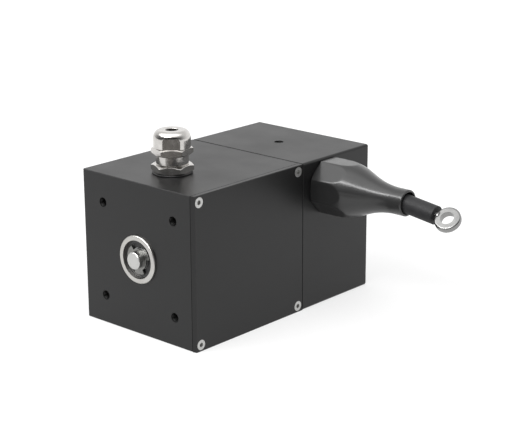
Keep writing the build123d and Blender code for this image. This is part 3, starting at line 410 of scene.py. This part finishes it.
def cut_by(points, cutter=0):
    """Marks points of an outline as reached by one of the cutters of turned_mesh."""
    return [(*point, cutter) for point in points]


def thread_outline(root, crest, start, end, pitch):
    """The saw-tooth outline of a thread, as rings, from start to end."""
    points = []
    for i in range(int((end - start) / pitch)):
        place = start + i * pitch
        points += [(root, place), *((crest, place + pitch * share) for share in CREST)]
    return points


# Turned meshes

AXES = {
    "X": lambda r, t, a: (a, r * math.cos(t), r * math.sin(t)),
    "Y": lambda r, t, a: (r * math.cos(t), a, r * math.sin(t)),
    "Z": lambda r, t, a: (r * math.cos(t), r * math.sin(t), a),
}
SAME_POINT = 1e-8
SHARP_ANGLE = 32.0
FLAT_END = 0.3          # cosine of the widest angle from its middle at which a milled flat cuts


def soft_min(a, b, width):
    """The smaller of two lengths, rounded where they cross."""
    if width <= 0:
        return min(a, b)
    h = max(0.0, min(1.0, 0.5 + 0.5 * (b - a) / width))
    return b + (a - b) * h - width * h * (1 - h)


def flats(count, across, turn, width):
    """The reach of a regular polygon's sides at an angle, with rounded corners."""
    step = 2 * math.pi / count

    def reach(t, place):
        local = (t - turn + step / 2) % step - step / 2
        near = across / 2 / math.cos(local)
        far = across / 2 / math.cos(step - abs(local))
        return soft_min(near, far, width)

    return reach


def milled(across, turn, top, corner):
    """Two opposite flats whose upper ends run out over the cutter's round corner."""
    def reach(t, place):
        rise = min(max(0.0, place - top), corner)
        depth = across / 2 + corner - math.sqrt(corner ** 2 - rise ** 2)
        share = abs(math.cos(t - turn))
        return depth / share if share > FLAT_END else across

    return reach


def closed_mesh(name, verts, faces):
    """A mesh with no doubled points and with its faces turned outwards."""
    mesh = bpy.data.meshes.new(name)
    mesh.from_pydata(verts, [], faces)
    work = bmesh.new()
    work.from_mesh(mesh)
    bmesh.ops.remove_doubles(work, verts=work.verts, dist=SAME_POINT)
    bmesh.ops.recalc_face_normals(work, faces=work.faces)
    work.to_mesh(mesh)
    work.free()
    return mesh


def turned_mesh(name, profile, axis, origin, segments, cutters=(), blend=0.0, phase=0.0):
    """A turned solid from a closed loop of (radius, place) points, some of them marked as cut."""
    verts, faces = [], []
    place = AXES[axis]
    count = len(profile)
    for k in range(segments):
        t = phase + 2 * math.pi * k / segments
        for r, a, *cut in profile:
            if cut:
                r = soft_min(r, cutters[cut[0]](t, a), blend)
            x, y, z = place(r, t, a)
            verts.append(((x + origin[0]) * MM, (y + origin[1]) * MM, (z + origin[2]) * MM))
    for k in range(segments):
        nxt = (k + 1) % segments
        for j in range(count):
            up = (j + 1) % count
            faces.append((k * count + j, nxt * count + j, nxt * count + up, k * count + up))
    return closed_mesh(name, verts, faces)


def new_piece(name, mesh, finish, body, replaced=(), sharp=SHARP_ANGLE):
    """A smooth piece with its finish. With no body named, the piece is attached to no body."""
    mesh.materials.clear()
    mesh.materials.append(finish)
    mesh.polygons.foreach_set("use_smooth", [True] * len(mesh.polygons))
    mesh.set_sharp_from_angle(angle=math.radians(sharp))
    piece = bpy.data.objects.new(name, mesh)
    bpy.context.scene.collection.objects.link(piece)
    if body:
        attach(piece, body)
    if replaced:
        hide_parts(*replaced)
    return piece


# Boot

BOOT_FLATS = 28.0
BOOT_CORNER_ROUND = 0.12
BOOT_FOOT_INSET = 0.5   # how far the foot starts inside the flats
BOOT_FOOT_SWELL = 0.2   # how far it then stands outside the turned part
BOOT_FOOT_LEN = 0.7
BOOT_TURNED_R = 15.0
BOOT_BLEND = 0.18       # how softly the flats run into the turned part
BOOT_BASE_LEN = 12.0
BOOT_SHOULDER = 0.36    # where the hollow side leaves the shoulder, along the cone
BOOT_HOLLOW = 0.5       # where it draws near the nozzle, along the cone
BOOT_HOLLOW_R = 1.12    # its size there, as a share of the nozzle
BOOT_NOZZLE_R = 6.9
BOOT_NOZZLE_LEN = 8.0
BOOT_NOZZLE_ROUND = 0.7
BOOT_BORE_R = 5.9
BOOT_MOUTH_R = 5.7
BOOT_MOUTH_ROUND = 0.4
BOOT_MOUTH_LEN = 4.8
BOOT_MOUTH_SLOPE = 0.3
BOOT_STEP = 0.4         # longest stretch of the outline
BOOT_SEGMENTS = 256
BOOT_SHARP = 20.0
OUTLET_FLANGE_R = 11.05
OUTLET_FLANGE_T = 3.05
OUTLET_NECK_R = 6.53
OUTLET_LEN = 14.05
OUTLET_SLOPE = 0.5


def build_boot():
    """The rubber boot: an octagonal base that runs into a hollow-sided cone and a nozzle."""
    (x0, y0, z0), (x1, y1, z1) = corners("boot")
    base_end = x0 + BOOT_BASE_LEN
    cone_end = x1 - BOOT_NOZZLE_LEN
    cone = cone_end - base_end
    flank = bezier(
        (BOOT_TURNED_R, base_end), (BOOT_TURNED_R, base_end + BOOT_SHOULDER * cone),
        (BOOT_NOZZLE_R * BOOT_HOLLOW_R, base_end + BOOT_HOLLOW * cone), (BOOT_NOZZLE_R, cone_end), 40,
    )
    foot = [(BOOT_FLATS / 2 - BOOT_FOOT_INSET, x0), (BOOT_TURNED_R + BOOT_FOOT_SWELL, x0 + BOOT_FOOT_LEN)]
    edge = BOOT_NOZZLE_ROUND
    outer = foot + flank + arc(BOOT_NOZZLE_R - edge, x1 - edge, edge, 0, 90, 6)
    edge = BOOT_MOUTH_ROUND
    inner = arc(BOOT_MOUTH_R + edge, x1 - edge, edge, 90, 180, 4)
    inner += [(BOOT_MOUTH_R, x1 - BOOT_MOUTH_LEN), (BOOT_BORE_R, x1 - BOOT_MOUTH_LEN - BOOT_MOUTH_SLOPE)]
    inner += [(BOOT_BORE_R, x0 + OUTLET_LEN + OUTLET_SLOPE), (OUTLET_NECK_R, x0 + OUTLET_LEN)]
    inner += [(OUTLET_NECK_R, x0 + OUTLET_FLANGE_T), (OUTLET_FLANGE_R, x0 + OUTLET_FLANGE_T)]
    inner += [(OUTLET_FLANGE_R, x0)]
    profile = cut_by(dense(outer, BOOT_STEP)) + inner
    centre = (0, (y0 + y1) / 2, (z0 + z1) / 2)
    octagon = flats(8, BOOT_FLATS, 0.0, BOOT_CORNER_ROUND)
    mesh = turned_mesh("boot_moulded", profile, "X", centre, BOOT_SEGMENTS, [octagon], BOOT_BLEND)
    new_piece("boot_moulded", mesh, BOOT, "housing", ["boot"], BOOT_SHARP)


build_boot()


# Cable gland

BODY_FLATS = 19.2
BODY_TURN = 37.0        # degrees from the front to one flat's normal, towards the right
BODY_HEX_H = 4.0
NUT_FLATS = 18.6
NUT_TURN = 42.5
NUT_HEX_H = 3.8
HEX_SLOPE = 0.62        # of the cone that takes off a hexagon's corners
HEX_RIM = 0.25          # how far the cone starts inside the flats
HEX_STEP = 0.12         # longest stretch of the outline
HEX_ROUND = 0.06
CUT_BLEND = 0.05
NECK_R = 8.35
NECK_GROOVE = 0.25
NECK_GROOVE_H = 0.35
NECK_CHAMFER = 0.3
THREAD_R = 8.0
THREAD_DEPTH = 0.45
THREAD_PITCH = 1.5
THREAD_LEAD = 0.6
THREAD_END_GAP = 0.2    # from the end of the thread to the foot
THREAD_FIT = 0.03
TOP_THREAD_R = 7.7
PASSAGE_R = 4.5
INSERT_HOLE_R = 5.75
CAP_R = 9.55
CAP_FLATS = 17.0
CAP_FLAT_H = 5.5
CAP_CUTTER = 1.0        # radius of the cutter's corner
PAINTED_SHADE_START = 0.1      # height above the flat at which the painted shade in the corner starts
PAINTED_SHADE_INSET = 0.03     # depth inside the cap at which the painted shade starts
CAP_STEP = 0.1
CAP_ROUND = 3.2
CAP_RISE = 4.5          # height of the dome, which is its round drawn taller
DOME_START = 3.0        # degrees
DOME_STEPS = 30
DOME_CUT = 18           # points of the dome that the flats can reach
MOUTH_R = 3.2
MOUTH_ROUND = 0.5
CAP_HOLLOW_R = 6.53
INSERT_R = 5.65
INSERT_HEAD_R = 6.45
INSERT_HEAD_GAP = 0.1
INSERT_BORE_R = 3.05
INSERT_FUNNEL_R = 3.9
INSERT_FUNNEL_LEN = 1.4
INSERT_FOOT_R = 3.5
INSERT_FOOT_LEN = 0.5
WASHER_ROUND = 0.35
GAP = 0.05
WASHER_SEGMENTS = 96
BODY_SEGMENTS = 144
NUT_SEGMENTS = 192
INSERT_SEGMENTS = 64
GLAND_SHARP = 24.0

ring_low, ring_high = corners("gland_ring")
nut_low, nut_high = corners("gland_nut")
RING_R = (ring_high.x - ring_low.x) / 2
GLAND_AXIS = (0, (ring_low.y + ring_high.y) / 2, 0)
FOOT = ring_low.z
SEAT = ring_high.z
NECK = SEAT + BODY_HEX_H
NUT = nut_low.z
CAP = NUT + NUT_HEX_H
CAP_TOP = nut_high.z
INSERT_TOP = corners("gland_insert")[1].z


def facing(turn):
    """The angle of a flat's normal, from a turn counted from the front towards the right."""
    return math.radians(turn - 90)


def hex_ring(across, z0, z1):
    """The outside of a turned hexagon: its corners are cut off by a cone at both ends."""
    corner = across / math.sqrt(3)
    rim = across / 2 - HEX_RIM
    drop = (corner - across / 2) * HEX_SLOPE
    return cut_by(dense([(rim, z0), (corner, z0 + drop), (corner, z1 - drop), (rim, z1)], HEX_STEP))


def gland_mesh(name, profile, segments, *cutting):
    """A mesh that is turned about the gland's axis."""
    return turned_mesh(name, profile, "Z", GLAND_AXIS, segments, *cutting)


def build_gland_ring():
    """The rubber washer that the gland stands on."""
    bulge = arc(RING_R - WASHER_ROUND, (FOOT + SEAT) / 2, WASHER_ROUND, -90, 90, 8)
    washer = bulge + [(THREAD_R + GAP, SEAT), (THREAD_R + GAP, FOOT)]
    mesh = gland_mesh("gland_washer", washer, WASHER_SEGMENTS)
    new_piece("gland_washer", mesh, RUBBER, "housing", ["gland_ring"])


def build_gland_body():
    """The hexagon, the neck under the nut, both threads and the way through for the cable."""
    low = corners("gland_body")[0].z
    groove = NECK_R - NECK_GROOVE
    groove_top = NECK + NECK_GROOVE_H
    body = hex_ring(BODY_FLATS, SEAT, NECK)
    body += [(groove, NECK), (groove, groove_top), (NECK_R, groove_top + NECK_GROOVE)]
    body += [(NECK_R, NUT - GAP - NECK_CHAMFER), (NECK_R - NECK_CHAMFER, NUT - GAP)]
    body += [(TOP_THREAD_R, NUT - GAP), (TOP_THREAD_R, CAP), (INSERT_HOLE_R, CAP)]
    body += [(INSERT_HOLE_R, NECK), (PASSAGE_R, NECK), (PASSAGE_R, low), (THREAD_R - THREAD_LEAD, low)]
    body += thread_outline(
        THREAD_R - THREAD_DEPTH, THREAD_R, low + THREAD_LEAD, FOOT - THREAD_END_GAP, THREAD_PITCH,
    )
    body += [(THREAD_R, SEAT)]
    turn = facing(BODY_TURN)
    hexagon = flats(6, BODY_FLATS, turn, HEX_ROUND)
    mesh = gland_mesh("gland_body_turned", body, BODY_SEGMENTS, [hexagon], CUT_BLEND, turn)
    new_piece("gland_body_turned", mesh, NICKEL, "housing", ["gland_body"], GLAND_SHARP)


def build_gland_nut():
    """The cap nut: a hexagon, a cap with two milled flats, a dome and the cable's mouth."""
    turn = facing(NUT_TURN)
    flats_top = CAP + CAP_FLAT_H
    side = dense([(CAP_R, CAP + GAP), (CAP_R, CAP_TOP - CAP_RISE)], CAP_STEP)
    rounded = arc(CAP_R - CAP_ROUND, CAP_TOP - CAP_ROUND, CAP_ROUND, DOME_START, 90, DOME_STEPS)
    dome = [(r, CAP_TOP + (z - CAP_TOP) * CAP_RISE / CAP_ROUND) for r, z in rounded]
    nut = hex_ring(NUT_FLATS, NUT, CAP)
    nut += cut_by(side + dome[:DOME_CUT], 1) + dome[DOME_CUT:]
    nut += arc(MOUTH_R + MOUTH_ROUND, CAP_TOP - MOUTH_ROUND, MOUTH_ROUND, 90, 180, 6)
    nut += [(MOUTH_R, INSERT_TOP + GAP), (CAP_HOLLOW_R, INSERT_TOP + GAP), (CAP_HOLLOW_R, CAP + GAP)]
    nut += [(TOP_THREAD_R + THREAD_FIT, CAP + GAP), (TOP_THREAD_R + THREAD_FIT, NUT)]
    hexagon = flats(6, NUT_FLATS, turn, HEX_ROUND)
    two_flats = milled(CAP_FLATS, turn, flats_top, CAP_CUTTER)
    mesh = gland_mesh("gland_nut_turned", nut, NUT_SEGMENTS, [hexagon, two_flats], CUT_BLEND, turn)
    piece = new_piece("gland_nut_turned", mesh, NICKEL, "housing", ["gland_nut"], GLAND_SHARP)
    # Painted shade on the cutter's corners above the flats.
    paint_shade_in_cutter_corners(piece, Vector((math.cos(turn), math.sin(turn), 0)), flats_top)


def paint_shade_in_cutter_corners(piece, normal, flats_top):
    """Gives the round corner above each milled flat a painted shade: a darker, rougher nickel."""
    piece.data.materials.append(NICKEL_PAINTED_SHADE)
    origin = Vector((*GLAND_AXIS[:2], flats_top))
    for face in piece.data.polygons:
        place = face.center / MM - origin
        above_flat = PAINTED_SHADE_START < place.z < CAP_CUTTER
        if above_flat and CAP_FLATS / 2 < abs(place.dot(normal)) < CAP_R - PAINTED_SHADE_INSET:
            face.material_index = 1


def build_gland_insert():
    """The rubber insert, with a funnel in its upper end."""
    low = corners("gland_insert")[0].z
    head = CAP + INSERT_HEAD_GAP
    insert = [(INSERT_R, low), (INSERT_R, head), (INSERT_HEAD_R, head), (INSERT_HEAD_R, INSERT_TOP)]
    insert += [(INSERT_FUNNEL_R, INSERT_TOP), (INSERT_BORE_R, INSERT_TOP - INSERT_FUNNEL_LEN)]
    insert += [(INSERT_BORE_R, low + INSERT_FOOT_LEN), (INSERT_FOOT_R, low)]
    mesh = gland_mesh("gland_seal_moulded", insert, INSERT_SEGMENTS)
    new_piece("gland_seal_moulded", mesh, RUBBER, "housing", ["gland_insert"])


build_gland_ring()
build_gland_body()
build_gland_nut()
build_gland_insert()


# Threads of the mounting holes

MOUNT_PITCH = 50.0
TAP_ROOT_R = 2.46
TAP_CREST_R = 2.18
TAP_OUTER_R = 2.48
TAP_PITCH = 1.0
TAP_START = 0.6
TAP_END = 10.4
TAP_SEGMENTS = 40
TAP_SHARP = 20.0


def build_hole_threads():
    """Thread rings in the four mounting holes."""
    profile = thread_outline(TAP_ROOT_R, TAP_CREST_R, TAP_START, TAP_END, TAP_PITCH)
    profile += [(TAP_ROOT_R, TAP_END), (TAP_OUTER_R, TAP_END), (TAP_OUTER_R, TAP_START)]
    sides = (-MOUNT_PITCH / 2, MOUNT_PITCH / 2)
    places = [(x, 0, z) for x in sides for z in sides]
    for i, place in enumerate(places, 1):
        name = f"hole_thread_{i}"
        mesh = turned_mesh(name, profile, "Y", place, TAP_SEGMENTS)
        new_piece(name, mesh, TAPPED, "housing", sharp=TAP_SHARP)


build_hole_threads()


# Measuring wire

WIRE_R = 0.5
STRANDS = 7
STRAND_DEPTH = 0.07
LAY = 7.0               # length of one turn of the strands
WIRE_RINGS = 400
WIRE_SIDES = 28


def laid_wire_mesh(start, end, y, z):
    """A closed bar along X whose surface shows the strands' crests, wound round it."""
    verts, faces = [], []
    for i in range(WIRE_RINGS + 1):
        x = start + (end - start) * i / WIRE_RINGS
        lay = 2 * math.pi * (x - start) / LAY
        for k in range(WIRE_SIDES):
            t = 2 * math.pi * k / WIRE_SIDES
            r = WIRE_R - STRAND_DEPTH + STRAND_DEPTH * abs(math.cos(STRANDS * (t - lay) / 2))
            verts.append((x * MM, (y + r * math.cos(t)) * MM, (z + r * math.sin(t)) * MM))
    for i in range(WIRE_RINGS):
        near, far = i * WIRE_SIDES, (i + 1) * WIRE_SIDES
        for k in range(WIRE_SIDES):
            n = (k + 1) % WIRE_SIDES
            faces.append((near + k, near + n, far + n, far + k))
    faces.append(tuple(range(WIRE_SIDES)))
    faces.append(tuple(WIRE_RINGS * WIRE_SIDES + k for k in range(WIRE_SIDES)))
    return closed_mesh("laid_wire", verts, faces)


def build_wire():
    """The laid wire from the drum to its swaged end. The real wire draws out with the eye; this piece is
    fixed and attached to no body.
    """
    wire_low, wire_high = corners("measuring_wire")
    y = (wire_low.y + wire_high.y) / 2
    z = (wire_low.z + wire_high.z) / 2
    start = wire_low.x
    mesh = laid_wire_mesh(start, wire_high.x, y, z)
    piece = new_piece("laid_wire", mesh, WIRE_STEEL, None, ["measuring_wire"])
    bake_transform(piece)


build_wire()


# Floor and flag

FLOOR_HALF = 40.0
FLOOR_SHADE = (0.30, 0.30, 0.30)
FLOOR_GLOW = 0.64
FLAG_HALF = 0.25
FLAG_LEN = 1.0
FLAG_SHADE = (0.085, 0.08, 0.075)
FLAG_EDGE = (0.135, -0.150)
FLAG_LIFT = 0.001
FLAG_TURN = 41.9
PAINT_ROUGHNESS = 0.9
PAINT_SPECULAR = 0.1


def stage_plane(name, corner_a, corner_b, z, shade, glow=0.0):
    """A level plane that isn't part of the object."""
    mesh = bpy.data.meshes.new(name)
    (x0, y0), (x1, y1) = corner_a, corner_b
    mesh.from_pydata([(x0, y0, z), (x1, y0, z), (x1, y1, z), (x0, y1, z)], [], [(0, 1, 2, 3)])
    plane = bpy.data.objects.new(name, mesh)
    bpy.context.scene.collection.objects.link(plane)
    paint = bpy.data.materials.new(name + "_paint")
    paint.use_nodes = True
    shader = paint.node_tree.nodes["Principled BSDF"]
    shader.inputs["Base Color"].default_value = (*shade, 1)
    shader.inputs["Roughness"].default_value = PAINT_ROUGHNESS
    shader.inputs["Specular IOR Level"].default_value = PAINT_SPECULAR
    shader.inputs["Emission Color"].default_value = (1, 1, 1, 1)
    shader.inputs["Emission Strength"].default_value = glow
    mesh.materials.append(paint)
    return plane


def build_stage():
    """A pale floor, and a dark flag on it that only the gloss of the object shows."""
    corner = (FLOOR_HALF, FLOOR_HALF)
    stage_plane("floor", (-FLOOR_HALF, -FLOOR_HALF), corner, cad_low.z, FLOOR_SHADE, FLOOR_GLOW)
    flag = stage_plane("studio_flag", (-FLAG_HALF, -FLAG_LEN), (FLAG_HALF, 0.0), 0.0, FLAG_SHADE)
    flag.location = (*FLAG_EDGE, cad_low.z + FLAG_LIFT)
    flag.rotation_euler = (0, 0, math.radians(FLAG_TURN))
    flag.visible_camera = False
    flag.visible_shadow = False
    flag.visible_diffuse = False


build_stage()


# Light
# A height is the sine of the elevation, and a side is the cosine of the angle from a direction.

TENT_BACK = (-0.45, 0.89, 0.0)
TENT_SIDE = (-0.5, 0.8)
TENT_FRONT = 0.08
TENT_REAR = 1.15
TENT_TOP = 0.95
TENT_TOP_HEIGHT = (0.35, 0.8)
STRIP_WAY = (-0.25, -0.968, 0.0)
STRIP_SIDE = (0.40, 0.80)
STRIP_FOOT = (0.57, 0.66)
STRIP_HEAD = (0.67, 0.76)
STRIP_GLOW = 22.0
HOOD_HEIGHT = (0.66, 0.78)
HOOD_SIDE = (-0.1, 0.4)
HOOD_GLOW = 1.3


def build_sky():
    """A soft tent, dark near the floor in front, with a strip light high in front and a hood above it."""
    world = bpy.data.worlds.new("studio")
    world.use_nodes = True
    tree = world.node_tree
    way = new_node(tree, "ShaderNodeTexCoord").outputs["Generated"]
    up = new_node(tree, "ShaderNodeSeparateXYZ", {0: way}).outputs["Z"]

    def towards(direction):
        return vector_math(tree, "DOT_PRODUCT", way, direction).outputs["Value"]

    def step(value, between, low, high):
        return mapped(tree, value, *between, low, high, interpolation_type="SMOOTHSTEP")

    def joined(operation, a, b):
        return new_node(tree, "ShaderNodeMath", {0: a, 1: b}, operation=operation).outputs["Value"]

    tent = new_node(tree, "ShaderNodeMix", {
        "Factor": step(up, TENT_TOP_HEIGHT, 0.0, 1.0),
        "A": step(towards(TENT_BACK), TENT_SIDE, TENT_FRONT, TENT_REAR),
        "B": TENT_TOP,
    }, data_type="FLOAT").outputs["Result"]
    strip = joined("MULTIPLY", step(up, STRIP_FOOT, 0.0, 1.0), step(up, STRIP_HEAD, STRIP_GLOW, 0.0))
    strip = joined("MULTIPLY", strip, step(towards(STRIP_WAY), STRIP_SIDE, 0.0, 1.0))
    in_front = step(towards(TENT_BACK), HOOD_SIDE, HOOD_GLOW, 0.0)
    hood = joined("MULTIPLY", step(up, HOOD_HEIGHT, 0.0, 1.0), in_front)
    background = tree.nodes["Background"]
    background.inputs["Color"].default_value = (1, 1, 1, 1)
    tree.links.new(joined("ADD", joined("ADD", tent, strip), hood), background.inputs["Strength"])
    bpy.context.scene.world = world


build_sky()
bpy.context.scene.view_settings.view_transform = "Standard"


# Camera

CAMERA_AT = (0.5288, -0.4962, 0.2443)
CAMERA_YAW = -41.899
CAMERA_PITCH = 17.162
CAMERA_ROLL = -0.208
CAMERA_LENS = 104.295
CAMERA_SENSOR = 36.0
CAMERA_NEAR = 0.01
CAMERA_FAR = 50.0


def build_camera():
    """The one camera, where the photograph was taken from."""
    yaw, pitch, roll = (math.radians(turn) for turn in (CAMERA_YAW, CAMERA_PITCH, CAMERA_ROLL))
    level = Vector((math.sin(yaw), math.cos(yaw), 0))
    ahead = level * math.cos(pitch) - Vector((0, 0, math.sin(pitch)))
    right = ahead.cross(Vector((0, 0, 1))).normalized()
    up = right.cross(ahead)
    side = right * math.cos(roll) + up * math.sin(roll)
    top = up * math.cos(roll) - right * math.sin(roll)
    data = bpy.data.cameras.new("camera")
    data.sensor_width = CAMERA_SENSOR
    data.lens = CAMERA_LENS
    data.clip_start = CAMERA_NEAR
    data.clip_end = CAMERA_FAR
    camera = bpy.data.objects.new("camera", data)
    bpy.context.scene.collection.objects.link(camera)
    turn = Matrix((side, top, -ahead)).transposed()
    camera.matrix_world = Matrix.Translation(CAMERA_AT) @ turn.to_4x4()
    bpy.context.scene.camera = camera


build_camera()
